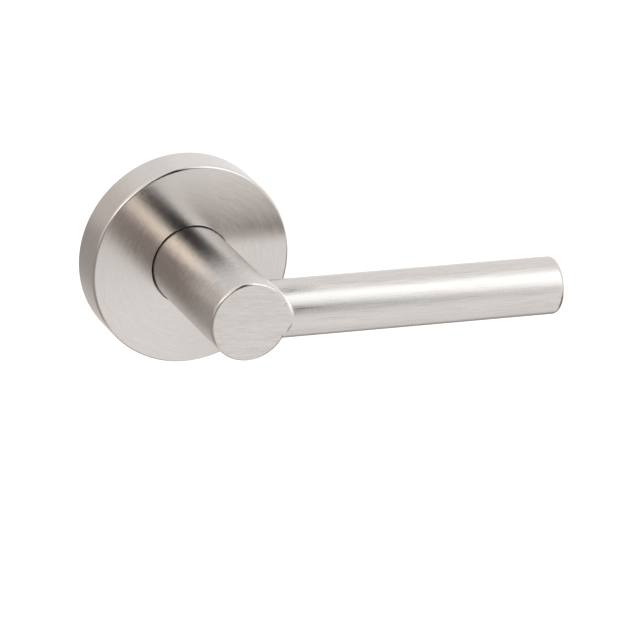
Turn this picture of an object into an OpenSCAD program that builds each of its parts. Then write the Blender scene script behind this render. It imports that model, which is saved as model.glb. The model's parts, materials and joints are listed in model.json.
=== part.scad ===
// Door lever handle, outer half: a sprung round rose, a round neck and a straight round grip.
// Millimetres, +Z up. The origin is the centre of the rose's back face, on the spindle axis.
// The door lies on the +Y side, the neck stands out towards -Y and the grip points along +X.

/* [Rose] */
// Diameter of the round rose, which has to cover the door's cross bore
rose_d = 66.7; // [65:0.1:76]
// How far the rose's face stands off the door
rose_depth = 13.3; // [13.3:0.1:16]
// Thickness of the rose's drawn metal
rose_wall = 1; // [0.8:0.1:1.2]
// Rounding of the rose's front rim
rose_edge_r = 0.9; // [0.4:0.1:1]
// Ring gap between the rose's hole and the neck
rose_gap = 0.35; // [0.3:0.05:0.8]

/* [Neck] */
// Diameter of the neck
neck_d = 26; // [25.5:0.1:28]
// How far the neck's end face stands off the door
neck_projection = 65; // [64:0.5:75]
// Wall of the neck's tube
neck_wall = 2; // [1.5:0.1:2.5]
// Rounding of the neck's end edge
neck_edge_r = 0.9; // [0.3:0.1:0.9]

/* [Grip] */
// Diameter of the grip
grip_d = 18.5; // [17:0.1:20]
// Distance from the spindle axis to the grip's tip
grip_reach = 107.9; // [95:0.1:125]
// Wall of the grip's tube
grip_wall = 1.5; // [1:0.1:2]
// Rounding of the grip's tip edge
tip_edge_r = 1.5; // [0.5:0.1:2]
// Radius of the polished concave weld between neck and grip
weld_r = 1.8; // [1:0.1:2.2]

/* [Fixing] */
// Distance between the two mounting posts
post_spacing = 38.1; // [36:0.1:40]
// Diameter of a mounting post
post_d = 8; // [7:0.1:8.4]
// How far a mounting post reaches into the door
post_length = 18; // [14:0.5:30]
// Wall diameter of a post's tapped hole
tapped_hole_d = 3.5; // [3:0.05:4.2]
// Diameter of the collar that centres the plate in the cross bore
spigot_d = 53; // [52:0.1:53.8]

/* [Drive] */
// Width across the flats of the square spindle
spindle_w = 8; // [7:0.1:8]
// How far the spindle reaches into the door
spindle_reach = 42; // [30:1:70]
// Full turn of the lever, in degrees
turn_max = 50; // [30:1:55]
// Coils of the return spring
coil_turns = 2.4; // [2.3:0.01:2.45]
// Wire diameter of the return spring
wire_d = 1.4; // [1.2:0.1:1.4]

/* [Hidden] */
$fn = 96;

satin = [0.74, 0.71, 0.68];
zinc_plate = [0.62, 0.63, 0.65];
dark_steel = [0.32, 0.32, 0.34];
nylon = [0.88, 0.87, 0.82];

cut = 1;            // how far a cutting solid runs past what it cuts
slack = 0.3;        // gap between pieces that turn past one another
run_gap = 0.05;     // radial running clearance in a bush
touch_gap = 0.05;   // gap between the spring's legs and their pins
braze_gap = 0.1;    // radial gap that the braze fills round a cap's spigot

// Rose, plate and what stands on it. Heights are measured outwards from the door.
rose_r = rose_d / 2;
rose_hole_r = neck_d / 2 + rose_gap;
plate_t = 2;
plate_r = rose_r - rose_wall - 0.35;
plate_hole_r = 10;
panel_back = 0.5;   // inside the collar the plate stands clear of the door by this much
spigot_r = spigot_d / 2;
spigot_wall = 2;
spigot_depth = 3;

post_r = post_d / 2;
post_tail_r = 3;
tapped_depth = 14;

cage_r = 22;
cage_wall = 1.5;
cage_inner_r = cage_r - cage_wall;
cage_top = rose_depth - rose_wall - 1.3;
cage_under = cage_top - cage_wall;
cage_flange_r = 27.2;
cage_flange_top = plate_t + 1.5;

cage_screw_at = 24.7;
cage_screw_angles = [90, 210, 330];
screw_r = 1.5;
screw_head_r = 2.5;
screw_head_h = 1.6;
screw_socket_r = 1.2;
screw_socket_depth = 0.9;
tail_back = panel_back + 0.2;   // screw, rivet and pin tails stay inside the plate's back face

clip_angles = [30, 150, 270];
clip_inner = 27.5;
clip_t = 0.5;
clip_outer = plate_r - slack;
clip_w = 5;
clip_h = 7;
clip_bump_r = 0.5;
clip_bump_w = 3;
rivet_at = 29.2;
rivet_r = 0.9;
rivet_head_r = 1.5;
rivet_head_h = 0.6;

// Turning parts on the spindle axis
sleeve_r = 7.95;
sleeve_back = -3.2;
sleeve_front = 34;
socket_gap = 0.05;
socket_front = 22;
bush_inner_r = sleeve_r + run_gap;
bush_flange_r = 12;
front_flange_t = 0.5;
rear_flange_t = 0.8;

ring_t = 1;
ring_top = panel_back - rear_flange_t - slack;
ring_inner_r = 7.2;
ring_outer_r = 9.6;
ring_opening = 40;

driver_t = 1.5;
driver_top = cage_under - slack;
driver_under = driver_top - driver_t;
driver_r = 11.5;
tab_r = cage_inner_r - 0.9;
tab_half = 9;
tab_angle = 90 + turn_max / 2;
stop_gap = 0.5;     // degrees between the tab and a stop
stop_width = 10;    // degrees
stop_inner_r = 16;

// Return spring: a coil with a straight tangent leg at each end
coil_r = 12.3;
wire_r = wire_d / 2;
leg_length = 12.5;
leg_contact = 10;
pin_r = 1.2;
pin_line = coil_r + wire_r + touch_gap + pin_r;
pin_at = sqrt(pin_line * pin_line + leg_contact * leg_contact);
pin_lead = atan(leg_contact / pin_line);
coil_end_angle = tab_angle + pin_lead;
coil_start_angle = coil_end_angle + 360 * coil_turns;
anchor_angle = coil_start_angle + pin_lead;
coil_back = plate_t + 0.2 + wire_r;
coil_front = driver_under - slack - wire_r;
anchor_top = coil_back + wire_r + 1.4;
driver_pin_back = anchor_top + 0.6;
coil_steps = 120;
wire_sides = 12;

// Neck, cap and hub
neck_r = neck_d / 2;
neck_bore_r = neck_r - neck_wall;
neck_base = rose_depth - 1;
neck_cap_t = 2;
neck_cap_back = neck_projection - neck_cap_t;
cap_spigot_depth = 1.5;
hub_front = 38;
washer_t = neck_base - slack - cage_top - front_flange_t;

grub_at = neck_base + 12;
grub_r = 2.5;
grub_hole_r = 2.7;
grub_dimple = 0.35;
grub_sunk = 0.6;
grub_socket_r = 1.44;
grub_socket_depth = 2;

spindle_front = socket_front - 0.5;
spindle_chamfer = 2;
spindle_pin_at = 16;
spindle_pin_r = 1;

// Grip. Its front line is ground flush with the neck's end face.
grip_r = grip_d / 2;
grip_bore_r = grip_r - grip_wall;
grip_axis = neck_projection - grip_r;
tip_cap_t = 2 * tip_edge_r + 0.5;
tip_spigot_depth = 8;
tenon_r = 5;
tenon_inner = neck_bore_r - 3.5;
tenon_reach = 38;

weld_sink = 0.6;    // how far the weld's root goes into both tubes
weld_stations = 72;
weld_arc_steps = 8;

// Turns a piece drawn along +Z so that it points out of the door
module outward() rotate([90, 0, 0]) children();

module disc(r, from, to) translate([0, 0, from]) cylinder(r = r, h = to - from);

module ring(outer, inner, from, to) difference() {
    disc(outer, from, to);
    disc(inner, from - cut, to + cut);
}

module sector(inner, outer, from, to, start, sweep)
    rotate([0, 0, start])
        rotate_extrude(angle = sweep)
            translate([inner, from]) square([outer - inner, to - from]);

// A rod from the floor up with its top edge rounded
module rounded_rod(r, h, edge) rotate_extrude() rounded_half(r, h, edge);

module rounded_half(r, h, edge) union() {
    square([r - edge, h]);
    square([r, h - edge]);
    translate([r - edge, h - edge]) circle(r = edge);
}

module at_polar(radius, angle) rotate([0, 0, angle]) translate([radius, 0, 0]) children();

// Moves a piece drawn along +Z onto the grip's axis
module along_grip() translate([0, 0, grip_axis]) rotate([0, 90, 0]) children();

// Moves a piece drawn along +Z so that it points down from the spindle axis
module downward(at) translate([0, 0, at]) rotate([90, 0, 0]) children();

module rose_cover() color(satin) outward() rotate_extrude() difference() {
    rounded_half(rose_r, rose_depth, rose_edge_r);
    translate([-cut, -cut]) square([rose_r - rose_wall + cut, rose_depth - rose_wall + cut]);
    translate([-cut, -cut]) square([rose_hole_r + cut, rose_depth + 2 * cut]);
}

module mounting_plate() color(zinc_plate) outward() difference() {
    union() {
        disc(plate_r, 0, plate_t);
        ring(spigot_r, spigot_r - spigot_wall, -spigot_depth, plate_t / 2);
    }
    disc(spigot_r - spigot_wall, -spigot_depth - cut, panel_back);
    disc(plate_hole_r, -cut, plate_t + cut);
    for (side = [0, 180]) at_polar(post_spacing / 2, side) disc(post_tail_r, -cut, plate_t + cut);
    for (a = cage_screw_angles) at_polar(cage_screw_at, a) disc(screw_r, tail_back, plate_t + cut);
    for (a = clip_angles) at_polar(rivet_at, a) disc(rivet_r, tail_back, plate_t + cut);
    at_polar(pin_at, anchor_angle) disc(pin_r, tail_back, plate_t + cut);
}

module mounting_posts() color(zinc_plate) outward()
    for (side = [0, 180]) at_polar(post_spacing / 2, side) difference() {
        union() {
            disc(post_r, -post_length, panel_back);
            disc(post_tail_r, panel_back, plate_t);
        }
        disc(tapped_hole_d / 2, -post_length - cut, tapped_depth - post_length);
    }

module spring_cage() color(zinc_plate) outward() difference() {
    union() {
        ring(cage_r, cage_inner_r, plate_t, cage_top);
        ring(cage_r, plate_hole_r, cage_under, cage_top);
        ring(cage_flange_r, cage_inner_r, plate_t, cage_flange_top);
        for (start = [tab_angle + tab_half + stop_gap,
                      tab_angle - tab_half - turn_max - stop_gap - stop_width])
            sector(stop_inner_r, cage_r, driver_under, cage_top, start, stop_width);
    }
    for (a = cage_screw_angles)
        at_polar(cage_screw_at, a) disc(screw_r, plate_t - cut, cage_flange_top + cut);
}

module cage_screws() color(dark_steel) outward()
    for (a = cage_screw_angles) at_polar(cage_screw_at, a) difference() {
        union() {
            disc(screw_r, tail_back, cage_flange_top);
            disc(screw_head_r, cage_flange_top, cage_flange_top + screw_head_h);
        }
        translate([0, 0, cage_flange_top + screw_head_h - screw_socket_depth])
            cylinder(r = screw_socket_r, h = screw_socket_depth + cut, $fn = 6);
    }

module front_bush() color(nylon) outward() difference() {
    union() {
        disc(plate_hole_r, cage_under, cage_top);
        disc(bush_flange_r, cage_top, cage_top + front_flange_t);
    }
    disc(bush_inner_r, cage_under - cut, cage_top + cut);
}

module rear_bush() color(nylon) outward() difference() {
    union() {
        disc(plate_hole_r, panel_back, plate_t);
        disc(bush_flange_r, panel_back - rear_flange_t, panel_back);
    }
    disc(bush_inner_r, panel_back - rear_flange_t - cut, plate_t + cut);
}

module rose_clips() color(dark_steel) outward()
    for (a = clip_angles) rotate([0, 0, a]) difference() {
        union() {
            translate([clip_inner, -clip_w / 2, plate_t])
                cube([clip_outer - clip_inner, clip_w, clip_t]);
            translate([clip_outer - clip_t, -clip_w / 2, plate_t]) cube([clip_t, clip_w, clip_h]);
            translate([clip_outer, clip_bump_w / 2, plate_t + clip_h - 2 * clip_bump_r])
                rotate([90, 0, 0]) cylinder(r = clip_bump_r, h = clip_bump_w);
        }
        translate([rivet_at, 0, 0]) disc(rivet_r, plate_t - cut, plate_t + clip_t + cut);
    }

module clip_rivets() color(zinc_plate) outward()
    for (a = clip_angles) at_polar(rivet_at, a) {
        disc(rivet_r, tail_back, plate_t + clip_t);
        disc(rivet_head_r, plate_t + clip_t, plate_t + clip_t + rivet_head_h);
    }

module anchor_pin() color(dark_steel) outward()
    at_polar(pin_at, anchor_angle) disc(pin_r, tail_back, anchor_top);

// Centre line of the spring, from the anchored leg's end to the driven leg's end
function around(radius, angle) = [radius * cos(angle), radius * sin(angle), 0];
function leg_end(angle, way) =
    around(coil_r, angle) + way * leg_length * [sin(angle), -cos(angle), 0];
function coil_line() = [
    leg_end(coil_start_angle, -1) + [0, 0, coil_back],
    for (i = [0:coil_steps])
        around(coil_r, coil_start_angle - 360 * coil_turns * i / coil_steps)
            + [0, 0, coil_back + (coil_front - coil_back) * i / coil_steps],
    leg_end(coil_end_angle, 1) + [0, 0, coil_front]
];

// Rings of points about a line that stays nearly flat, and the faces that close them
function along(line, i) = line[min(i + 1, len(line) - 1)] - line[max(i - 1, 0)];
function unit(v) = v / norm(v);
function wire_points(line) = [
    for (i = [0:len(line) - 1])
        let (forward = unit(along(line, i)), side = unit(cross(forward, [0, 0, 1])),
             top = cross(side, forward))
        for (k = [0:wire_sides - 1])
            let (a = 360 * k / wire_sides)
            line[i] + wire_r * (cos(a) * side + sin(a) * top)
];
function tube_walls(rings, sides, closed) = [
    for (i = [0:rings - (closed ? 1 : 2)], k = [0:sides - 1])
        let (j = (i + 1) % rings, m = (k + 1) % sides)
        each [[i * sides + k, i * sides + m, j * sides + m],
              [i * sides + k, j * sides + m, j * sides + k]]
];
function tube_ends(rings, sides) = [
    [for (k = [sides - 1:-1:0]) k],
    [for (k = [0:sides - 1]) (rings - 1) * sides + k]
];

module return_spring() color(dark_steel) outward() {
    line = coil_line();
    polyhedron(
        points = wire_points(line),
        faces = concat(tube_walls(len(line), wire_sides, false), tube_ends(len(line), wire_sides)));
}

module neck_tube() color(satin) outward() difference() {
    ring(neck_r, neck_bore_r, neck_base, neck_cap_back);
    along_grip() disc(tenon_r, 0, 2 * neck_r);
    downward(grub_at) disc(grub_hole_r, 0, 2 * neck_r);
}

module neck_cap() color(satin) outward() {
    translate([0, 0, neck_cap_back]) rounded_rod(neck_r, neck_cap_t, neck_edge_r);
    disc(neck_bore_r - braze_gap, neck_cap_back - cap_spigot_depth, neck_cap_back);
}

module neck_hub() color(zinc_plate) outward() difference() {
    ring(neck_bore_r, sleeve_r, neck_base, hub_front);
    downward(grub_at) disc(grub_r, 0, 2 * neck_r);
}

module grip_tube() color(satin) outward() difference() {
    along_grip() ring(grip_r, grip_bore_r, 0, grip_reach - tip_cap_t);
    disc(neck_r, 0, 2 * neck_projection);
}

module grip_cap() color(satin) outward() along_grip() {
    translate([0, 0, grip_reach - tip_cap_t]) rounded_rod(grip_r, tip_cap_t, tip_edge_r);
    disc(grip_bore_r - braze_gap, grip_reach - tip_cap_t - tip_spigot_depth, grip_reach - tip_cap_t);
}

module grip_tenon() color(zinc_plate) outward() {
    difference() {
        along_grip() disc(grip_bore_r, 0, tenon_reach);
        disc(neck_r, 0, 2 * neck_projection);
    }
    along_grip() disc(tenon_r, tenon_inner, neck_r + cut);
}

// The weld is what a ball of radius weld_r leaves as it rolls in the corner between the tubes
weld_line_r = grip_r + weld_r;
weld_ratio = neck_r / (neck_r + weld_r);
function ball_centre(a) = [
    sqrt(pow(neck_r + weld_r, 2) - pow(weld_line_r * cos(a), 2)),
    weld_line_r * cos(a),
    grip_axis + weld_line_r * sin(a)
];
function neck_touch(c) = [c.x * weld_ratio, c.y * weld_ratio, c.z];
function grip_touch(a, c) = [c.x, grip_r * cos(a), grip_axis + grip_r * sin(a)];
function weld_arc(c, from, to, share) =
    let (w = acos(from * to)) c + weld_r * (sin((1 - share) * w) * from + sin(share * w) * to) / sin(w);
function weld_root(a) = [
    sqrt(pow(neck_r, 2) - pow(grip_r * cos(a), 2)) - weld_sink,
    (grip_r - weld_sink) * cos(a),
    grip_axis + (grip_r - weld_sink) * sin(a)
];
function ground_flush(p) = [p.x, p.y, min(p.z, neck_projection)];
// The weld's inner edge lies in the neck's metal, and fills the cap's rounded edge in front
function weld_lip(c) =
    ground_flush((neck_r - neck_edge_r) / norm([c.x, c.y]) * [c.x, c.y, 0] + [0, 0, c.z]);
function weld_points() = [
    for (i = [0:weld_stations - 1])
        let (a = 360 * i / weld_stations, c = ball_centre(a),
             from = (neck_touch(c) - c) / weld_r, to = (grip_touch(a, c) - c) / weld_r)
        each [weld_root(a), weld_lip(c),
              for (k = [0:weld_arc_steps]) ground_flush(weld_arc(c, from, to, k / weld_arc_steps))]
];

module weld_fillet() color(satin) outward()
    polyhedron(
        points = weld_points(),
        faces = tube_walls(weld_stations, weld_arc_steps + 3, true));

module drive_sleeve() color(dark_steel) outward() difference() {
    disc(sleeve_r, sleeve_back, sleeve_front);
    translate([0, 0, (socket_front + sleeve_back - cut) / 2])
        cube([spindle_w + socket_gap, spindle_w + socket_gap, socket_front - sleeve_back + cut],
             center = true);
    ring(sleeve_r + cut, ring_inner_r, ring_top - ring_t, ring_top);
    downward(spindle_pin_at) disc(spindle_pin_r, -sleeve_r - cut, sleeve_r + cut);
    downward(grub_at) disc(grub_r, sleeve_r - grub_dimple, sleeve_r + cut);
}

module spring_driver() color(zinc_plate) outward() difference() {
    union() {
        disc(driver_r, driver_under, driver_top);
        sector(driver_r - cut, tab_r, driver_under, driver_top, tab_angle - tab_half,
               2 * tab_half);
    }
    disc(sleeve_r, driver_under - cut, driver_top + cut);
    at_polar(pin_at, tab_angle) disc(pin_r, driver_under - cut, driver_top + cut);
}

module driver_pin() color(dark_steel) outward()
    at_polar(pin_at, tab_angle) disc(pin_r, driver_pin_back, driver_top);

module thrust_washer() color(dark_steel) outward()
    ring(bush_flange_r, sleeve_r, neck_base - washer_t, neck_base);

module retaining_ring() color(dark_steel) outward()
    sector(ring_inner_r, ring_outer_r, ring_top - ring_t, ring_top,
           ring_opening / 2 - 90, 360 - ring_opening);

module spindle() color(dark_steel) outward() difference() {
    intersection() {
        translate([0, 0, (spindle_front - spindle_reach) / 2])
            cube([spindle_w, spindle_w, spindle_front + spindle_reach], center = true);
        union() {
            disc(spindle_w, spindle_chamfer - spindle_reach, spindle_front);
            translate([0, 0, -spindle_reach])
                cylinder(r1 = spindle_w / 2, r2 = spindle_w * 3 / 4, h = spindle_chamfer);
        }
    }
    downward(spindle_pin_at) disc(spindle_pin_r, -sleeve_r - cut, sleeve_r + cut);
}

module spindle_pin() color(zinc_plate) outward()
    downward(spindle_pin_at) disc(spindle_pin_r, slack - sleeve_r, sleeve_r - slack);

module grub_screw() color(dark_steel) outward() downward(grub_at) difference() {
    disc(grub_r, sleeve_r - grub_dimple, neck_r - grub_sunk);
    translate([0, 0, neck_r - grub_sunk - grub_socket_depth])
        cylinder(r = grub_socket_r, h = grub_socket_depth + cut, $fn = 6);
}

rose_cover();
mounting_plate();
mounting_posts();
spring_cage();
cage_screws();
front_bush();
rear_bush();
rose_clips();
clip_rivets();
anchor_pin();
return_spring();
neck_tube();
neck_cap();
neck_hub();
grip_tube();
grip_cap();
grip_tenon();
weld_fillet();
drive_sleeve();
spring_driver();
driver_pin();
thrust_washer();
retaining_ring();
spindle();
spindle_pin();
grub_screw();
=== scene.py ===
"""Looks, light and camera for the satin nickel door lever. Metres; +Y goes into the door and +Z is up."""
import json
import math

import bmesh
import bpy
import numpy as np
from mathutils import Matrix, Vector


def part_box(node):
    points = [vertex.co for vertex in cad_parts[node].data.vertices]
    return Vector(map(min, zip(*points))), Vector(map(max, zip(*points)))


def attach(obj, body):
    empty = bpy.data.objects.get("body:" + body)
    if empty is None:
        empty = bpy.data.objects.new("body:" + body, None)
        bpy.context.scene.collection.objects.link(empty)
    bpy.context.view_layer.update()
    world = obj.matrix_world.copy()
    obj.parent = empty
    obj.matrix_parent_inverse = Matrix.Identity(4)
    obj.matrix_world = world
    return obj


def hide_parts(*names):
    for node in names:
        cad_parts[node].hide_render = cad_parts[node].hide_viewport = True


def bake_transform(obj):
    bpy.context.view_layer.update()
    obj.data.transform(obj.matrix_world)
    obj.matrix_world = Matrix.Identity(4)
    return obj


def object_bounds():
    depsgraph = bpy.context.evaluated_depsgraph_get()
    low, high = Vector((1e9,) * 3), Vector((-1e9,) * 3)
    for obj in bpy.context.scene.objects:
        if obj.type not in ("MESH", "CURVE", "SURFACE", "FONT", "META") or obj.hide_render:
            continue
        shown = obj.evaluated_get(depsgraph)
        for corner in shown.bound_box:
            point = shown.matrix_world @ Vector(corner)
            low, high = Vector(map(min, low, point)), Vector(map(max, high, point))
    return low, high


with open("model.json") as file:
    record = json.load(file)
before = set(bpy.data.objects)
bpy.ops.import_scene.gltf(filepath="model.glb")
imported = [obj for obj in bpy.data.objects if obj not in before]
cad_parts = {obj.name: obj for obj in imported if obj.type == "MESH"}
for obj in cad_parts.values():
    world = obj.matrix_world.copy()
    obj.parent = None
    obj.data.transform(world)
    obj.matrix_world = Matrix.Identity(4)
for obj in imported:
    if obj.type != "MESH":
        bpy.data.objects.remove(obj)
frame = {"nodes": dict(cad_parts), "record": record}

MM = 0.001


def corners(bounds):
    return [[float(value) for value in corner] for corner in bounds]


cad_bounds = corners(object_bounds())

# ---- sizes, from the frame where its boxes give them ------------------------------------------

rose_low, rose_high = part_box("rose_cover")
neck_low, neck_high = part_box("neck_tube")
cap_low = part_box("neck_cap")[0]
grip_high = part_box("grip_tube")[1]
tip_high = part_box("grip_cap")[1]

ROSE_R = rose_high.x
ROSE_DEPTH = -rose_low.y
ROSE_WALL = 1.0 * MM
ROSE_EDGE_R = 0.9 * MM
ROSE_GAP = 0.35 * MM    # all round the neck, where it enters the rose
NECK_R = neck_high.x
ROSE_HOLE_R = NECK_R + ROSE_GAP
NECK_BASE = -neck_high.y
NECK_CAP_BACK = -neck_low.y
NECK_FRONT = -cap_low.y
NECK_WALL = 2.0 * MM
NECK_EDGE_R = 0.9 * MM
GRIP_R = grip_high.z
GRIP_AXIS = NECK_FRONT - GRIP_R
GRIP_WALL = 1.5 * MM
GRIP_CAP_BACK = grip_high.x
GRIP_REACH = tip_high.x
TIP_EDGE_R = 1.5 * MM
WELD_R = 1.8 * MM
WELD_SINK = 0.6 * MM    # how far the weld and the grip's tube reach into the neck's wall
WELD_END = NECK_R + WELD_R      # where the weld runs out on the grip

GRUB_AT = NECK_BASE + 12 * MM
GRUB_HOLE_R = 2.7 * MM
GRUB_HOLE_RIM = 0.25 * MM
GRUB_HOLE_SINK = 0.35 * MM

SPRING_R = 12.3 * MM
SPRING_WIRE_R = 0.7 * MM
SPRING_TURNS = 2.4
SPRING_LEG = 12.5 * MM

# Mesh fineness

SUPPORT = 0.03 * MM     # a flat strip beside a rounding keeps the flat face's shading flat
ROUND_SIDES = 320
ROSE_SIDES = 384
GRUB_SIDES = 96
WIRE_SIDES = 24
EDGE_STEPS = 12
ROSE_WALL_STEPS = 16
ROSE_FACE_STEPS = 24
NECK_STEPS = 40
GRIP_STEPS = 80
END_STEPS = 10
TIP_STEPS = 8
WELD_STATIONS = 360
WELD_ARC_STEPS = 20
COIL_STEPS = 420
LEG_STEPS = 24
POLE_R = 2 * MM         # the single face that closes the middle of the neck's end
TIP_POLE_R = 1.5 * MM   # and of the grip's end


# ---- meshes -----------------------------------------------------------------------------------
# Pieces are drawn in a local frame (along the grip, up, out of the door) and turned by outward().

def outward(points):
    """Local (x, up, out) points as frame (x, y, z) points."""
    points = np.asarray(points, float)
    return np.stack([points[..., 0], -points[..., 2], points[..., 1]], axis=-1)


def grid_piece(name, rings, closed=True, capped=False):
    """A mesh over rings of points. closed joins the last ring to the first, capped fills both ends."""
    rings = outward(rings)
    count, sides = rings.shape[:2]
    faces = []
    for i in range(count if closed else count - 1):
        j = (i + 1) % count
        for k in range(sides):
            m = (k + 1) % sides
            faces.append((i * sides + k, i * sides + m, j * sides + m, j * sides + k))
    if capped:
        faces.append(tuple(reversed(range(sides))))
        faces.append(tuple((count - 1) * sides + k for k in range(sides)))
    mesh = bpy.data.meshes.new(name)
    mesh.from_pydata(rings.reshape(-1, 3).tolist(), [], faces)
    piece = bpy.data.objects.new(name, mesh)
    bpy.context.scene.collection.objects.link(piece)
    return piece


def face_outwards(piece):
    """Makes the mesh's faces agree and look outwards."""
    work = bmesh.new()
    work.from_mesh(piece.data)
    bmesh.ops.recalc_face_normals(work, faces=work.faces)
    work.to_mesh(piece.data)
    work.free()


def smooth(piece, sharp_degrees=32):
    """Smooth shading that stops at edges sharper than the given angle."""
    piece.data.shade_smooth()
    piece.data.set_sharp_from_angle(angle=math.radians(sharp_degrees))


def turned(profile, sides=ROUND_SIDES):
    """Rings of a profile of (radius, height) turned about the spindle axis."""
    angle = np.linspace(0, 2 * math.pi, sides, endpoint=False)
    profile = np.asarray(profile, float)
    radius = profile[:, 0:1]
    height = np.repeat(profile[:, 1:2], sides, axis=1)
    return np.stack([radius * np.cos(angle), radius * np.sin(angle), height], axis=-1)


def along_grip(rings):
    """Rings turned about the spindle axis, laid on the grip's axis instead."""
    rings = np.asarray(rings, float)
    return np.stack([rings[..., 2], rings[..., 0], rings[..., 1] + GRIP_AXIS], axis=-1)


def rounding(radius, height, edge):
    """Profile points of an outer edge rounding, from the side wall up to the flat face."""
    points = [(radius, height - edge - SUPPORT)]
    for step in range(EDGE_STEPS + 1):
        angle = 0.5 * math.pi * step / EDGE_STEPS
        points.append((radius - edge + edge * math.cos(angle), height - edge + edge * math.sin(angle)))
    points.append((radius - edge - SUPPORT, height))
    return points


def between(start, end, steps):
    """Points from start to end, both included."""
    return [tuple(p) for p in np.linspace(start, end, steps + 1)]


# ---- the visible pieces -----------------------------------------------------------------------

def make_rose():
    """The drawn shell: outer wall, rounded rim, face, hole and the inside of the metal."""
    inside_r = ROSE_R - ROSE_WALL
    inside_top = ROSE_DEPTH - ROSE_WALL
    lip = 0.15 * MM
    corner = 0.3 * lip
    hole_edge = [(ROSE_HOLE_R + lip, ROSE_DEPTH), (ROSE_HOLE_R + corner, ROSE_DEPTH - corner),
                 (ROSE_HOLE_R, ROSE_DEPTH - lip)]
    profile = (
        between((ROSE_R, lip), (ROSE_R, ROSE_DEPTH - ROSE_EDGE_R - 2 * SUPPORT), ROSE_WALL_STEPS)
        + rounding(ROSE_R, ROSE_DEPTH, ROSE_EDGE_R)
        + between((ROSE_R - ROSE_EDGE_R - 2 * SUPPORT, ROSE_DEPTH),
                  (ROSE_HOLE_R + lip + SUPPORT, ROSE_DEPTH), ROSE_FACE_STEPS)
        + hole_edge
        + [(ROSE_HOLE_R, inside_top), (inside_r, inside_top), (inside_r, 0), (ROSE_R - lip, 0)]
    )
    rose = grid_piece("rose_shell", turned(profile, ROSE_SIDES))
    return finish_piece(rose, "rose", "rose_cover")


def make_neck():
    """The neck's tube, with the grub screw's hole in its underside."""
    bore_r = NECK_R - NECK_WALL
    lip = 0.2 * MM
    profile = (
        [(NECK_R - lip, NECK_BASE)]
        + between((NECK_R, NECK_BASE + lip), (NECK_R, NECK_CAP_BACK), NECK_STEPS)
        + [(bore_r, NECK_CAP_BACK), (bore_r, NECK_BASE)]
    )
    neck = grid_piece("neck_barrel", turned(profile))
    face_outwards(neck)
    cutter = make_grub_cutter()
    carve(neck, cutter)
    return finish_piece(neck, "lever", "neck_tube")


def make_grub_cutter():
    """A countersunk rod that points down, where the grub screw's hole goes."""
    mouth_r = GRUB_HOLE_R + GRUB_HOLE_RIM
    profile = [(GRUB_HOLE_R, NECK_R - 1.5 * NECK_WALL), (GRUB_HOLE_R, NECK_R - GRUB_HOLE_SINK),
               (mouth_r, NECK_R), (mouth_r, NECK_R + NECK_WALL)]
    rings = turned(profile, GRUB_SIDES)
    rings = np.stack([rings[..., 0], -rings[..., 2], rings[..., 1] + GRUB_AT], axis=-1)
    return grid_piece("grub_cutter", rings, closed=False, capped=True)


def carve(piece, cutter):
    """Takes the cutter's volume out of the piece, and removes the cutter."""
    face_outwards(cutter)
    modifier = piece.modifiers.new("carve", "BOOLEAN")
    modifier.operation = "DIFFERENCE"
    modifier.solver = "EXACT"
    modifier.object = cutter
    evaluated = piece.evaluated_get(bpy.context.evaluated_depsgraph_get())
    carved = bpy.data.meshes.new_from_object(evaluated)
    piece.modifiers.clear()
    piece.data = carved
    bpy.data.objects.remove(cutter)


def make_neck_end():
    """The end cap of the neck: a short run of side wall, the rounded edge and the flat end face."""
    profile = (
        [(NECK_R, NECK_CAP_BACK)]
        + rounding(NECK_R, NECK_FRONT, NECK_EDGE_R)
        + between((NECK_R - NECK_EDGE_R - 2 * SUPPORT, NECK_FRONT), (POLE_R, NECK_FRONT), END_STEPS)
    )
    end = grid_piece("neck_end", turned(profile), closed=False, capped=True)
    return finish_piece(end, "lever", "neck_cap")


def make_grip():
    """The grip's tube. Its first ring follows the neck's wall, just inside it."""
    angle = np.linspace(0, 2 * math.pi, ROUND_SIDES, endpoint=False)

    def ring(radius, share):
        start = np.sqrt(NECK_R ** 2 - (GRIP_R * np.cos(angle)) ** 2) - WELD_SINK
        along = start + (GRIP_CAP_BACK - start) * share
        return np.stack([along, radius * np.cos(angle), GRIP_AXIS + radius * np.sin(angle)], axis=-1)

    shares = np.linspace(0, 1, GRIP_STEPS + 1)
    rings = [ring(GRIP_R, share) for share in shares]
    rings += [ring(GRIP_R - GRIP_WALL, share) for share in (1, 0)]
    grip = grid_piece("grip_barrel", np.array(rings))
    return finish_piece(grip, "lever", "grip_tube")


def make_tip():
    """The end cap of the grip, with its rounded edge."""
    profile = (
        [(GRIP_R, GRIP_CAP_BACK)]
        + rounding(GRIP_R, GRIP_REACH, TIP_EDGE_R)
        + between((GRIP_R - TIP_EDGE_R - 2 * SUPPORT, GRIP_REACH), (TIP_POLE_R, GRIP_REACH), TIP_STEPS)
    )
    tip = grid_piece("grip_end", along_grip(turned(profile)), closed=False, capped=True)
    return finish_piece(tip, "lever", "grip_cap")


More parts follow.
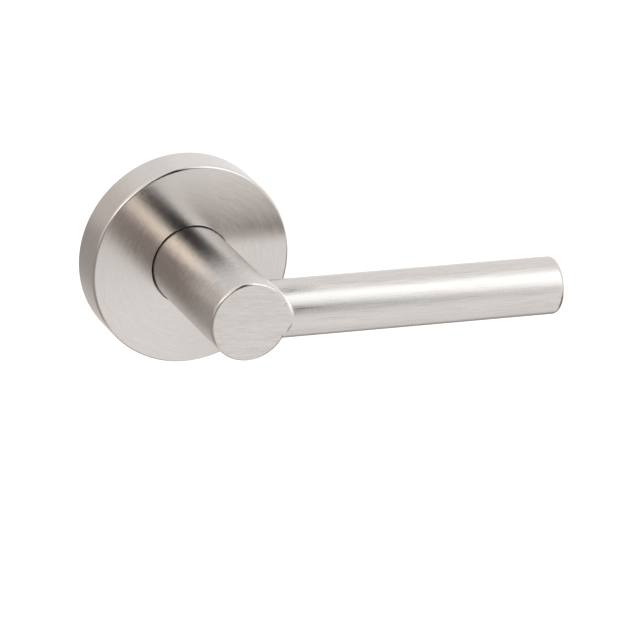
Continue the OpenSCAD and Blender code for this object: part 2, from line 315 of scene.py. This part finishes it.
def weld_ring(turn):
    """The weld's outline where it stands turned so far round the grip: root, lip and concave arc."""
    up, out = math.cos(turn), math.sin(turn)
    weld_line_r = GRIP_R + WELD_R
    centre = np.array([math.sqrt(WELD_END ** 2 - (weld_line_r * up) ** 2),
                       weld_line_r * up, GRIP_AXIS + weld_line_r * out])
    shrink = NECK_R / WELD_END
    on_neck = np.array([centre[0] * shrink, centre[1] * shrink, centre[2]])
    on_grip_tube = np.array([centre[0], GRIP_R * up, GRIP_AXIS + GRIP_R * out])
    from_neck = (on_neck - centre) / WELD_R
    from_grip = (on_grip_tube - centre) / WELD_R
    opening = math.acos(float(from_neck @ from_grip))
    root_r = GRIP_R - WELD_SINK
    root = np.array([math.sqrt(NECK_R ** 2 - (GRIP_R * up) ** 2) - WELD_SINK,
                     root_r * up, GRIP_AXIS + root_r * out])
    inside = (NECK_R - NECK_EDGE_R) / WELD_END
    lip = centre * [inside, inside, 1]
    ring = [root, lip]
    for step in range(WELD_ARC_STEPS + 1):
        share = step / WELD_ARC_STEPS
        arm = (math.sin((1 - share) * opening) * from_neck
               + math.sin(share * opening) * from_grip) / math.sin(opening)
        ring.append(centre + WELD_R * arm)
    for point in ring[1:]:
        point[2] = min(point[2], NECK_FRONT)
    return ring


def make_weld():
    """The concave weld: what a ball leaves as it rolls in the corner, ground flush with the end face."""
    turns = [2 * math.pi * station / WELD_STATIONS for station in range(WELD_STATIONS)]
    weld = grid_piece("weld_bead", np.array([weld_ring(turn) for turn in turns]))
    return finish_piece(weld, "lever", "weld_fillet")


def spring_line():
    """The spring's centre line: a leg, the coil, and a leg that passes the driver's pin."""
    low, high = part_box("return_spring")
    back = -high.y + SPRING_WIRE_R
    front = -low.y - SPRING_WIRE_R
    pin_low, pin_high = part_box("driver_pin")
    pin = (pin_low + pin_high) / 2
    reach = math.hypot(pin.x, pin.z)
    lead = math.acos((SPRING_R + SPRING_WIRE_R + (pin_high.x - pin_low.x) / 2) / reach)
    end_angle = math.atan2(pin.z, pin.x) + lead
    turns = 2 * math.pi * SPRING_TURNS
    start_angle = end_angle + turns
    coil = []
    for step in range(COIL_STEPS + 1):
        share = step / COIL_STEPS
        angle = start_angle - turns * share
        coil.append([SPRING_R * math.cos(angle), SPRING_R * math.sin(angle), back + (front - back) * share])
    leg_in = [coil[0][0] - SPRING_LEG * math.sin(start_angle),
              coil[0][1] + SPRING_LEG * math.cos(start_angle), back]
    leg_out = [coil[-1][0] + SPRING_LEG * math.sin(end_angle),
               coil[-1][1] - SPRING_LEG * math.cos(end_angle), front]
    return np.array(between(leg_in, coil[0], LEG_STEPS)[:-1] + coil
                    + between(coil[-1], leg_out, LEG_STEPS)[1:])


def make_spring():
    """The return spring at a fine resolution. It twists between the plate's pin and the driver's pin."""
    line = spring_line()
    forward = np.gradient(line, axis=0)
    forward /= np.linalg.norm(forward, axis=1, keepdims=True)
    side = np.cross(forward, [0, 0, 1])
    side /= np.linalg.norm(side, axis=1, keepdims=True)
    top = np.cross(side, forward)
    rings = []
    for turn in np.linspace(0, 2 * math.pi, WIRE_SIDES, endpoint=False):
        rings.append(line + SPRING_WIRE_R * (math.cos(turn) * side + math.sin(turn) * top))
    spring = grid_piece("spring_coil", np.array(rings).transpose(1, 0, 2), closed=False, capped=True)
    face_outwards(spring)
    smooth(spring)
    # The turn begins and ends at the wire's centre lines, so half of each leg's thickness shears. At full
    # turn the wire cuts into both pins, by 0.27 mm at the driver's and 0.15 mm at the plate's.
    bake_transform(spring)
    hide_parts("return_spring")
    return spring


def finish_piece(piece, body, node):
    """Shading and motion of a piece that stands for one satin nickel node, whose node is hidden."""
    face_outwards(piece)
    smooth(piece)
    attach(piece, body)
    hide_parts(node)
    return piece


# ---- brushing directions ----------------------------------------------------------------------
# The "brush" map's U runs across the brush lines, which is the way the highlights spread.

def set_brush(piece, across_and_along):
    """Fills the brush map from a function of (points, face centres) that gives U and V."""
    mesh = piece.data
    layer = mesh.uv_layers.new(name="brush")
    points = np.zeros(len(mesh.vertices) * 3)
    mesh.vertices.foreach_get("co", points)
    points = points.reshape(-1, 3)
    vertex = np.zeros(len(mesh.loops), int)
    mesh.loops.foreach_get("vertex_index", vertex)
    centre = np.zeros(len(mesh.polygons) * 3)
    mesh.polygons.foreach_get("center", centre)
    total = np.zeros(len(mesh.polygons), int)
    mesh.polygons.foreach_get("loop_total", total)
    centre = np.repeat(centre.reshape(-1, 3), total, axis=0)
    u, v = across_and_along(points[vertex], centre)
    layer.data.foreach_set("uv", np.stack([u, v], axis=1).ravel())


def near(angle, reference):
    """The angle's value nearest to the reference."""
    return reference + np.mod(angle - reference + math.pi, 2 * math.pi) - math.pi


def brushed_round(points, centre):
    """Lines run round the spindle axis."""
    radius = np.hypot(points[:, 0], points[:, 2])
    angle = np.arctan2(points[:, 2], points[:, 0])
    middle = np.arctan2(centre[:, 2], centre[:, 0])
    return radius - points[:, 1], near(angle, middle) * NECK_R


def brushed_lengthwise(points, centre):
    """Lines run along the grip."""
    angle = np.arctan2(points[:, 2], -points[:, 1] - GRIP_AXIS)
    middle = np.arctan2(centre[:, 2], -centre[:, 1] - GRIP_AXIS)
    return near(angle, middle) * GRIP_R, points[:, 0]


def brushed_level(points, centre):
    """Lines run level across a face that looks out of the door."""
    return points[:, 2], points[:, 0]


def brushed_neck_end(points, centre):
    """Round the wall and edge, level on the flat face."""
    round_u, round_v = brushed_round(points, centre)
    level_u, level_v = brushed_level(points, centre)
    flat = centre[:, 1] < -NECK_FRONT + SUPPORT
    return np.where(flat, level_u, round_u), np.where(flat, level_v, round_v)


def brushed_tip(points, centre):
    """Lengthwise on the wall and edge, upright on the flat face."""
    wall_u, wall_v = brushed_lengthwise(points, centre)
    flat = centre[:, 0] > GRIP_REACH - SUPPORT
    return np.where(flat, points[:, 1], wall_u), np.where(flat, points[:, 2], wall_v)


# ---- materials --------------------------------------------------------------------------------
# Satin nickel

SATIN_DARK = (0.575, 0.540, 0.513)
SATIN_LIGHT = (0.695, 0.662, 0.637)
POLISHED_DARK = (0.72, 0.69, 0.67)
POLISHED_LIGHT = (0.84, 0.81, 0.79)
# Darkens the grip's grinding strokes, and paints dark reflections beside the weld into its colour
WEAR_AND_REFLECTION_TINT = (0.42, 0.42, 0.43)
ROSE_ROUGHNESS = 0.20
NECK_ROUGHNESS = 0.23
GRIP_ROUGHNESS = 0.26
END_FACE_ROUGHNESS = 0.26
WELD_ROUGHNESS = (0.42, 0.52)
ROUGHNESS_SPREAD = 0.045
HANDLING_SPREAD = 0.01
TURNED_ANISOTROPY = 0.75
GROUND_ANISOTROPY = 0.6
HAIRLINES = 3000        # brush lines to a metre, the fine ones
BANDS = 1300            # and the broad ones
SPECKS = 2600           # and the specks between them
STROKES = 3200          # and the grip's stray strokes
HANDLING = 60           # and the soft patches that handling leaves
HAIRLINE_SHARE = 0.65   # of the brush lines, the rest is bands
BRUSH_SHARE = 0.75      # of the pattern, the rest is specks
END_FACE_DIP = math.radians(5)      # how far the end face's lines dip towards the grip
FACES_OUT = 0.98        # a face whose normal reaches this far out of the door is part of the end face

# The grip's grinding strokes and the dark reflections painted beside the weld: how far past the weld, how
# far forward from the top in degrees, and reach

UPPER_GRIND_AND_REFLECTION = (1 * MM, 31, (9 * MM, 3 * MM, 1.5 * MM))
FRONT_GRIND_AND_REFLECTION = (1 * MM, 72, (3 * MM, 3 * MM, 1.2 * MM))
FRONT_TAIL_GRIND_AND_REFLECTION = (6 * MM, 70, (24 * MM, 3 * MM, 0.9 * MM))
GRIND_AND_REFLECTION_STRENGTH = 0.7
TAIL_STRENGTH = 0.4
STREAK_LEVELS = (0.44, 0.56)    # the noise values between which strokes set in
STROKE_LEVELS = (0.57, 0.68)
STROKE_FADE = (0.5, 0.2)        # their strength at the weld and at the tip
SMOOTH_PAINTED_REFLECTION = 0.3      # the smooth painted dark reflection, the part of a patch that isn't broken up into strokes

# The hidden parts

TURNING_LINES = 5000    # to a metre
CRYSTAL_SHARE = 0.4     # of the steel's colour, the rest is blotches
SMOOTHEST = 0.06        # how far below and above its roughness a steel surface varies
ROUGHEST = 0.08
NYLON_DARK = (0.66, 0.64, 0.57)
NYLON_LIGHT = (0.76, 0.75, 0.69)
NYLON_ROUGHNESS = (0.42, 0.55)
NYLON_IOR = 1.53

NOISE_MIDDLE = 0.5
MIX_FIRST, MIX_SECOND, MIX_RESULT = 6, 7, 2     # a Mix node's colour sockets


class Nodes:
    """A short way to build one material's node tree."""

    def __init__(self, name):
        self.material = bpy.data.materials.new(name)
        self.material.use_nodes = True
        self.tree = self.material.node_tree
        self.tree.nodes.clear()

    def add(self, kind, inputs=None, **settings):
        """A node with its settings, whose inputs are values or other nodes' outputs."""
        node = self.tree.nodes.new(kind)
        for key, value in settings.items():
            setattr(node, key, value)
        for key, value in (inputs or {}).items():
            if isinstance(value, bpy.types.NodeSocket):
                self.tree.links.new(value, node.inputs[key])
            else:
                node.inputs[key].default_value = value
        return node

    def math(self, operation, first, second=0.0):
        """One sum, product or the like."""
        return self.add("ShaderNodeMath", {0: first, 1: second}, operation=operation).outputs[0]

    def mixed(self, first, second, share):
        """Two values added up, the first by its share and the second by the rest."""
        return self.math("ADD", self.math("MULTIPLY", first, share),
                         self.math("MULTIPLY", second, 1 - share))

    def place(self):
        """Object coordinates, which are the frame's metres because every piece sits at the origin."""
        return self.add("ShaderNodeTexCoord").outputs["Object"]

    def level_place(self, fine, coarse, dip=0.0):
        """Coordinates that run fast across brush lines that follow X, and slowly along them."""
        place = self.place()
        if dip:
            turned_place = self.add("ShaderNodeMapping", {"Vector": place, "Rotation": (0, -dip, 0)})
            place = turned_place.outputs[0]
        inputs = {"Vector": place, "Scale": (coarse, fine, fine)}
        return self.add("ShaderNodeMapping", inputs).outputs[0]

    def round_place(self, fine, coarse):
        """Coordinates that run fast across circular brush lines and slowly along them."""
        parts = self.add("ShaderNodeSeparateXYZ", {0: self.place()}).outputs
        radius = self.math("SQRT", self.math("ADD", self.math("MULTIPLY", parts[0], parts[0]),
                                             self.math("MULTIPLY", parts[2], parts[2])))
        across = self.math("MULTIPLY", self.math("SUBTRACT", radius, parts[1]), fine)
        level = self.math("MULTIPLY", self.math("DIVIDE", parts[0], radius), coarse)
        upright = self.math("MULTIPLY", self.math("DIVIDE", parts[2], radius), coarse)
        return self.add("ShaderNodeCombineXYZ", {0: across, 1: level, 2: upright}).outputs[0]

    def noise(self, vector, scale=1.0, detail=2.0, rough=0.5):
        """Noise from 0 to 1, whose values gather round the middle."""
        return self.add("ShaderNodeTexNoise", {"Vector": vector, "Scale": scale, "Detail": detail,
                                               "Roughness": rough}).outputs[0]

    def closeness(self, centre, reach):
        """1 at the centre, falling to 0 at the reach along each axis."""
        offset = self.add("ShaderNodeVectorMath", {0: self.place(), 1: centre}, operation="SUBTRACT")
        share = self.add("ShaderNodeVectorMath", {0: offset.outputs[0], 1: reach}, operation="DIVIDE")
        distance = self.add("ShaderNodeVectorMath", {0: share.outputs[0]}, operation="LENGTH")
        return self.spread(distance.outputs["Value"], 1, 0, 0, 1)

    def spread(self, value, low, high, from_low=0.3, from_high=0.7):
        """A value stretched to run from low to high, by default over a noise's usual range."""
        inputs = {0: value, 1: from_low, 2: from_high, 3: low, 4: high}
        return self.add("ShaderNodeMapRange", inputs).outputs[0]

    def blend(self, share, dark, light):
        """A colour between two."""
        node = self.add("ShaderNodeMix", {0: share}, data_type="RGBA")
        node.inputs[MIX_FIRST].default_value = (*dark, 1)
        node.inputs[MIX_SECOND].default_value = (*light, 1)
        return node.outputs[MIX_RESULT]

    def darken(self, colour, share, tint):
        """The colour multiplied by a tint where the share is 1."""
        node = self.add("ShaderNodeMix", {0: share}, data_type="RGBA", blend_type="MULTIPLY")
        self.tree.links.new(colour, node.inputs[MIX_FIRST])
        node.inputs[MIX_SECOND].default_value = (*tint, 1)
        return node.outputs[MIX_RESULT]

    def finish(self, colour, roughness, bump, **uniform):
        """The metal or plastic surface itself, from its colour, roughness and bump."""
        inputs = {"Base Color": colour, "Roughness": roughness, "Normal": bump}
        inputs.update({key.replace("_", " "): value for key, value in uniform.items()})
        shader = self.add("ShaderNodeBsdfPrincipled", inputs)
        self.add("ShaderNodeOutputMaterial", {"Surface": shader.outputs[0]})
        return shader

    def bump(self, height, strength, distance):
        """A normal that follows a height, whose full range is the distance."""
        return self.add("ShaderNodeBump", {"Height": height, "Strength": strength,
                                           "Distance": distance}).outputs[0]

    def brush_tangent(self, shader):
        """Lets the highlights spread across the brush lines."""
        tangent = self.add("ShaderNodeTangent", direction_type="UV_MAP", uv_map="brush")
        self.tree.links.new(tangent.outputs[0], shader.inputs["Tangent"])


def satin_nickel(name, hairlines, bands, roughness, anisotropy, depth, evenness, marks=None):
    """Brushed nickel. hairlines and bands give the fine and the broad brush line coordinates.

    The higher its evenness, the less its brush lines differ in colour."""
    nodes = Nodes(name)
    fine = nodes.noise(hairlines(nodes), detail=3, rough=0.65)
    broad = nodes.noise(bands(nodes), detail=2)
    handling = nodes.noise(nodes.place(), scale=HANDLING, detail=3)
    specks = nodes.noise(nodes.place(), scale=SPECKS, detail=1)
    lines = nodes.mixed(nodes.mixed(fine, broad, HAIRLINE_SHARE), specks, BRUSH_SHARE)
    shade = nodes.spread(lines, 0, 1, NOISE_MIDDLE - evenness, NOISE_MIDDLE + evenness)
    colour = nodes.blend(shade, SATIN_DARK, SATIN_LIGHT)
    if marks:
        # Grinding strokes darken the colour, and so do the dark reflections painted beside the weld
        colour = nodes.darken(colour, marks(nodes, fine), WEAR_AND_REFLECTION_TINT)
    brushing = nodes.spread(lines, roughness - ROUGHNESS_SPREAD, roughness + ROUGHNESS_SPREAD)
    uneven = nodes.math("ADD", brushing, nodes.spread(handling, -HANDLING_SPREAD, HANDLING_SPREAD))
    shader = nodes.finish(colour, uneven, nodes.bump(lines, 1.0, depth), Metallic=1.0,
                          Anisotropic=anisotropy)
    nodes.brush_tangent(shader)
    return nodes.material


def grind_and_reflection_patch(nodes, past_weld, turned_forward, reach):
    """1 at a place on the grip's skin where grinding strokes and a painted dark reflection lie, falling to
    0 at the reach.
    """
    angle = math.radians(turned_forward)
    centre = (WELD_END + past_weld, -GRIP_AXIS - GRIP_R * math.sin(angle), GRIP_R * math.cos(angle))
    return nodes.closeness(centre, reach)


def grinding_marks_and_painted_reflections(nodes, lines):
    """Two patches on the grip beside the weld and a tail past the front one: painted dark reflections
    broken up into coarse strokes, with a smooth painted dark reflection over the two patches, and thin
    grinding strokes farther along it.
    """
    upper = nodes.math("MULTIPLY", grind_and_reflection_patch(nodes, *UPPER_GRIND_AND_REFLECTION), GRIND_AND_REFLECTION_STRENGTH)
    front = nodes.math("MULTIPLY", grind_and_reflection_patch(nodes, *FRONT_GRIND_AND_REFLECTION), GRIND_AND_REFLECTION_STRENGTH)
    tail = nodes.math("MULTIPLY", grind_and_reflection_patch(nodes, *FRONT_TAIL_GRIND_AND_REFLECTION), TAIL_STRENGTH)
    grind_and_reflection_patches = nodes.math("ADD", upper, front)
    reached = nodes.math("ADD", grind_and_reflection_patches, tail)
    # The patches and the tail broken up into streaks: painted dark reflection among grinding strokes
    streaks = nodes.math("MULTIPLY", reached, nodes.spread(lines, 0, 1, *STREAK_LEVELS))
    strokes = nodes.noise(nodes.level_place(STROKES, coarse=60), detail=3, rough=0.6)
    along = nodes.add("ShaderNodeSeparateXYZ", {0: nodes.place()}).outputs[0]
    fade = nodes.spread(along, *STROKE_FADE, WELD_END, GRIP_REACH)
    thin = nodes.math("MULTIPLY", nodes.spread(strokes, 0, 1, *STROKE_LEVELS), fade)
    # A smooth painted dark reflection over the two patches beside the weld
    shade = nodes.math("MULTIPLY", grind_and_reflection_patches, SMOOTH_PAINTED_REFLECTION)
    wear_and_painted_reflection = nodes.math("ADD", nodes.math("ADD", streaks, shade), thin)
    return nodes.math("MINIMUM", wear_and_painted_reflection, 1.0)


def rose_satin():
    """Lines round the rose."""
    return satin_nickel("satin_rose", lambda n: n.round_place(HAIRLINES, coarse=7),
                        lambda n: n.round_place(BANDS, coarse=3), ROSE_ROUGHNESS, TURNED_ANISOTROPY,
                        depth=0.016 * MM, evenness=0.21)


def neck_satin():
    """Lines round the neck."""
    return satin_nickel("satin_neck", lambda n: n.round_place(HAIRLINES, coarse=10),
                        lambda n: n.round_place(BANDS, coarse=4), NECK_ROUGHNESS, TURNED_ANISOTROPY,
                        depth=0.014 * MM, evenness=0.08)


def lengthwise_satin():
    """Lines along the grip, with its grinding strokes and the dark reflections painted beside the weld."""
    return satin_nickel("satin_lengthwise", lambda n: n.level_place(HAIRLINES, coarse=130),
                        lambda n: n.level_place(BANDS, coarse=50), GRIP_ROUGHNESS,
                        TURNED_ANISOTROPY, depth=0.010 * MM, evenness=0.16, marks=grinding_marks_and_painted_reflections)


def level_satin():
    """Lines across the neck's end face."""
    return satin_nickel("satin_level", lambda n: n.level_place(HAIRLINES, 230, END_FACE_DIP),
                        lambda n: n.level_place(BANDS, 80, END_FACE_DIP), END_FACE_ROUGHNESS,
                        GROUND_ANISOTROPY, depth=0.003 * MM, evenness=0.09)


def polished_weld():
    """The weld, polished by hand and left a little dull."""
    nodes = Nodes("satin_polished")
    grain = nodes.noise(nodes.place(), scale=SPECKS, detail=3)
    colour = nodes.blend(grain, POLISHED_DARK, POLISHED_LIGHT)
    nodes.finish(colour, nodes.spread(grain, *WELD_ROUGHNESS), nodes.bump(grain, 1.0, 0.002 * MM),
                 Metallic=1.0)
    return nodes.material


def plated(name, dark, light, roughness, grain_scale, depth):
    """Plated or blackened steel: a fine crystalline grain, soft blotches and turning lines."""
    nodes = Nodes(name)
    place = nodes.place()
    grain = nodes.noise(place, scale=grain_scale, detail=4)
    blotch = nodes.noise(place, scale=180, detail=3)
    turning = nodes.noise(nodes.round_place(TURNING_LINES, coarse=8), detail=2)
    share = nodes.mixed(grain, blotch, CRYSTAL_SHARE)
    colour = nodes.blend(nodes.spread(share, 0, 1), dark, light)
    height = nodes.math("ADD", grain, turning)
    nodes.finish(colour, nodes.spread(share, roughness - SMOOTHEST, roughness + ROUGHEST),
                 nodes.bump(height, 1.0, depth), Metallic=1.0)
    return nodes.material


def moulded_nylon():
    """Off-white nylon with a fine moulded texture and faint stains."""
    nodes = Nodes("nylon_moulded")
    place = nodes.place()
    texture = nodes.noise(place, scale=2400, detail=3)
    stain = nodes.noise(place, scale=150, detail=2)
    colour = nodes.blend(nodes.spread(stain, 0, 1), NYLON_DARK, NYLON_LIGHT)
    nodes.finish(colour, nodes.spread(texture, *NYLON_ROUGHNESS), nodes.bump(texture, 1.0, 0.004 * MM),
                 IOR=NYLON_IOR)
    return nodes.material


def paint(obj, *materials):
    """Puts the materials in the object's slots."""
    obj.data.materials.clear()
    for material in materials:
        obj.data.materials.append(material)


def paint_ground_face(piece, ground, elsewhere):
    """One finish on what lies in the plane of the neck's end face, another elsewhere."""
    paint(piece, elsewhere, ground)
    for polygon in piece.data.polygons:
        in_plane = -polygon.center.y > NECK_FRONT - SUPPORT
        polygon.material_index = int(in_plane and -polygon.normal.y > FACES_OUT)
    set_brush(piece, brushed_neck_end)


# ---- build ------------------------------------------------------------------------------------

satin_rose = rose_satin()
satin_neck = neck_satin()
satin_long = lengthwise_satin()
satin_level = level_satin()
satin_weld = polished_weld()
zinc = plated("zinc_plated", dark=(0.50, 0.52, 0.56), light=(0.66, 0.68, 0.72), roughness=0.36,
              grain_scale=3200, depth=0.002 * MM)
blackened = plated("steel_blackened", dark=(0.05, 0.05, 0.055), light=(0.11, 0.11, 0.12), roughness=0.38,
                   grain_scale=2600, depth=0.003 * MM)
tempered = plated("steel_tempered", dark=(0.16, 0.155, 0.15), light=(0.26, 0.25, 0.24), roughness=0.32,
                  grain_scale=3000, depth=0.002 * MM)
nylon = moulded_nylon()

rose = make_rose()
neck = make_neck()
neck_end = make_neck_end()
grip = make_grip()
tip = make_tip()
weld = make_weld()
spring = make_spring()

for piece, material in ((rose, satin_rose), (neck, satin_neck)):
    set_brush(piece, brushed_round)
    paint(piece, material)
for piece, brushed in ((grip, brushed_lengthwise), (tip, brushed_tip)):
    set_brush(piece, brushed)
    paint(piece, satin_long)
paint_ground_face(neck_end, satin_level, satin_neck)
paint_ground_face(weld, satin_level, satin_weld)
paint(spring, tempered)

node_materials = {"satin_nickel": satin_neck, "zinc_plate": zinc, "dark_steel": blackened,
                  "spring_steel": tempered, "nylon": nylon}
slot_of = {part["node"]: part["material_slot"] for part in frame["record"]["subparts"]}
for node_name, node in frame["nodes"].items():
    for slot in node.material_slots:
        slot.material = node_materials[slot_of[node_name]]

# ---- light ------------------------------------------------------------------------------------
# The part hangs in a tent of curved cards, well above a pale floor. The camera doesn't see the cards.
# Their angles and colours were fitted to the photograph by a separate program, then partly changed by hand.

TENT_R = 2.4
TENT_LAYER = 0.05       # nearer cards hide farther ones
FLOOR_DROP = 2.8
FLOOR_SIZE = 30.0
CARD_FACET = math.radians(3)
CARD_FADE = math.radians(10)    # how softly a card's light ends
WORLD_STRENGTH = 1.05   # from the same fit as the cards
FLOOR_SHADE = (0.3, 0.3, 0.3, 1)
FLOOR_GLOW = 0.80       # makes the floor white in the picture

part_middle = (Vector(cad_bounds[0]) + Vector(cad_bounds[1])) / 2


def glow(name, colour):
    """Light that is solid in a card's middle and fades to nothing at its outline."""
    nodes = Nodes(name)
    solid = nodes.add("ShaderNodeAttribute", attribute_name="solid").outputs["Fac"]
    clear = nodes.add("ShaderNodeBsdfTransparent")
    light = nodes.add("ShaderNodeEmission", {"Color": (*colour, 1)})
    mixed = nodes.add("ShaderNodeMixShader", {0: solid, 1: clear.outputs[0], 2: light.outputs[0]})
    nodes.add("ShaderNodeOutputMaterial", {"Surface": mixed.outputs[0]})
    return nodes.material


def direction(azimuth, elevation):
    """A unit vector; azimuth 0 is along +X and -90 degrees looks out of the door."""
    return Vector((math.cos(elevation) * math.cos(azimuth), math.cos(elevation) * math.sin(azimuth),
                   math.sin(elevation)))


def faded(values):
    """How solid a card is at each of its steps from one outline to the other."""
    inside = np.minimum(values - values[0], values[-1] - values)
    return np.clip(inside / CARD_FADE, 0, 1)


def card(name, layer, azimuths, elevations, colour):
    """A curved card round the part, half solid along two azimuths and two elevations, in degrees."""
    all_round = azimuths[1] - azimuths[0] == 360
    margin = CARD_FADE / 2
    azimuths = np.radians(azimuths) + (0 if all_round else np.array([-margin, margin]))
    elevations = np.radians(elevations) + np.array([-margin, margin])
    azimuths = np.linspace(*azimuths, round(np.ptp(azimuths) / CARD_FACET) + 1)
    elevations = np.linspace(*elevations, round(np.ptp(elevations) / CARD_FACET) + 1)
    radius = TENT_R + layer * TENT_LAYER
    points = [part_middle + radius * direction(a, e) for e in elevations for a in azimuths]
    columns = len(azimuths)
    faces = []
    for i in range(len(elevations) - 1):
        for j in range(columns - 1):
            corner = i * columns + j
            faces.append((corner, corner + 1, corner + columns + 1, corner + columns))
    mesh = bpy.data.meshes.new(name)
    mesh.from_pydata(points, [], faces)
    mesh.materials.append(glow(name, colour))
    across = np.ones(columns) if all_round else faded(azimuths)
    solid = mesh.attributes.new("solid", "FLOAT", "POINT")
    solid.data.foreach_set("value", np.outer(faded(elevations), across).ravel())
    panel = bpy.data.objects.new(name, mesh)
    bpy.context.scene.collection.objects.link(panel)
    panel.visible_camera = False


def make_world():
    """White all round."""
    world = bpy.data.worlds.new("studio")
    bpy.context.scene.world = world
    world.use_nodes = True
    background = world.node_tree.nodes["Background"]
    background.inputs["Color"].default_value = (1, 1, 1, 1)
    background.inputs["Strength"].default_value = WORLD_STRENGTH


def make_floor():
    """A plain pale floor that glows."""
    nodes = Nodes("pale_floor")
    shader = nodes.add("ShaderNodeBsdfPrincipled", {
        "Base Color": FLOOR_SHADE, "Roughness": 0.9, "Emission Color": (1, 1, 1, 1),
        "Emission Strength": FLOOR_GLOW})
    nodes.add("ShaderNodeOutputMaterial", {"Surface": shader.outputs[0]})
    half = FLOOR_SIZE / 2
    mesh = bpy.data.meshes.new("floor")
    mesh.from_pydata([(-half, -half, -FLOOR_DROP), (half, -half, -FLOOR_DROP), (half, half, -FLOOR_DROP),
                      (-half, half, -FLOOR_DROP)], [], [(0, 1, 2, 3)])
    mesh.materials.append(nodes.material)
    floor = bpy.data.objects.new("floor", mesh)
    bpy.context.scene.collection.objects.link(floor)


make_world()
make_floor()
card("black_flag", 0, (-101, -69), (-4, 88), (0.0, 0.0, 0.0))
card("brown_front", 1, (-148, -76), (-21, 18), (0.44, 0.39, 0.37))
card("warm_strip", 2, (-150, -87), (19, 36), (2.64, 2.47, 2.19))
card("softbox", 3, (-65, -15), (16, 63), (1.88, 1.95, 1.98))
card("grey_low_left", 4, (-255, -106), (-58, 2), (0.43, 0.40, 0.38))
card("brown_low_right", 5, (-38, 74), (-56, -17), (0.22, 0.17, 0.15))
card("grey_behind", 6, (80, 190), (-58, 26), (0.70, 0.65, 0.62))
card("grey_beneath", 7, (-180, 180), (-88, -70), (0.50, 0.48, 0.47))
card("pale_below", 8, (-180, 180), (-88, 0), (1.06, 1.06, 1.06))

# ---- camera -----------------------------------------------------------------------------------
# Its place, angles and lens were fitted to the object's outline in the photograph.

CAMERA_AZIMUTH = math.radians(-23.46)
CAMERA_ELEVATION = math.radians(21.07)
CAMERA_ROLL = math.radians(3.85)
CAMERA_DISTANCE = 1.8119
CAMERA_LENS = 312.18
CAMERA_TARGET = Vector((51.77, 0, -28.54)) * MM


def make_camera():
    """The camera, at its distance from the target and rolled about its line of sight."""
    flat = math.cos(CAMERA_ELEVATION)
    back = Vector((math.sin(CAMERA_AZIMUTH) * flat, -math.cos(CAMERA_AZIMUTH) * flat,
                   math.sin(CAMERA_ELEVATION)))
    level = (-back).cross(Vector((0, 0, 1))).normalized()
    upright = level.cross(-back)
    right = math.cos(CAMERA_ROLL) * level + math.sin(CAMERA_ROLL) * upright
    up = -math.sin(CAMERA_ROLL) * level + math.cos(CAMERA_ROLL) * upright
    camera_data = bpy.data.cameras.new("camera")
    camera_data.lens = CAMERA_LENS
    camera = bpy.data.objects.new("camera", camera_data)
    bpy.context.scene.collection.objects.link(camera)
    turned_to = Matrix((right, up, back)).transposed().to_4x4()
    camera.matrix_world = Matrix.Translation(CAMERA_TARGET + back * CAMERA_DISTANCE) @ turned_to
    bpy.context.scene.camera = camera


make_camera()
bpy.context.scene.view_settings.view_transform = "Standard"
bpy.context.scene.view_settings.look = "None"

bpy.context.view_layer.update()
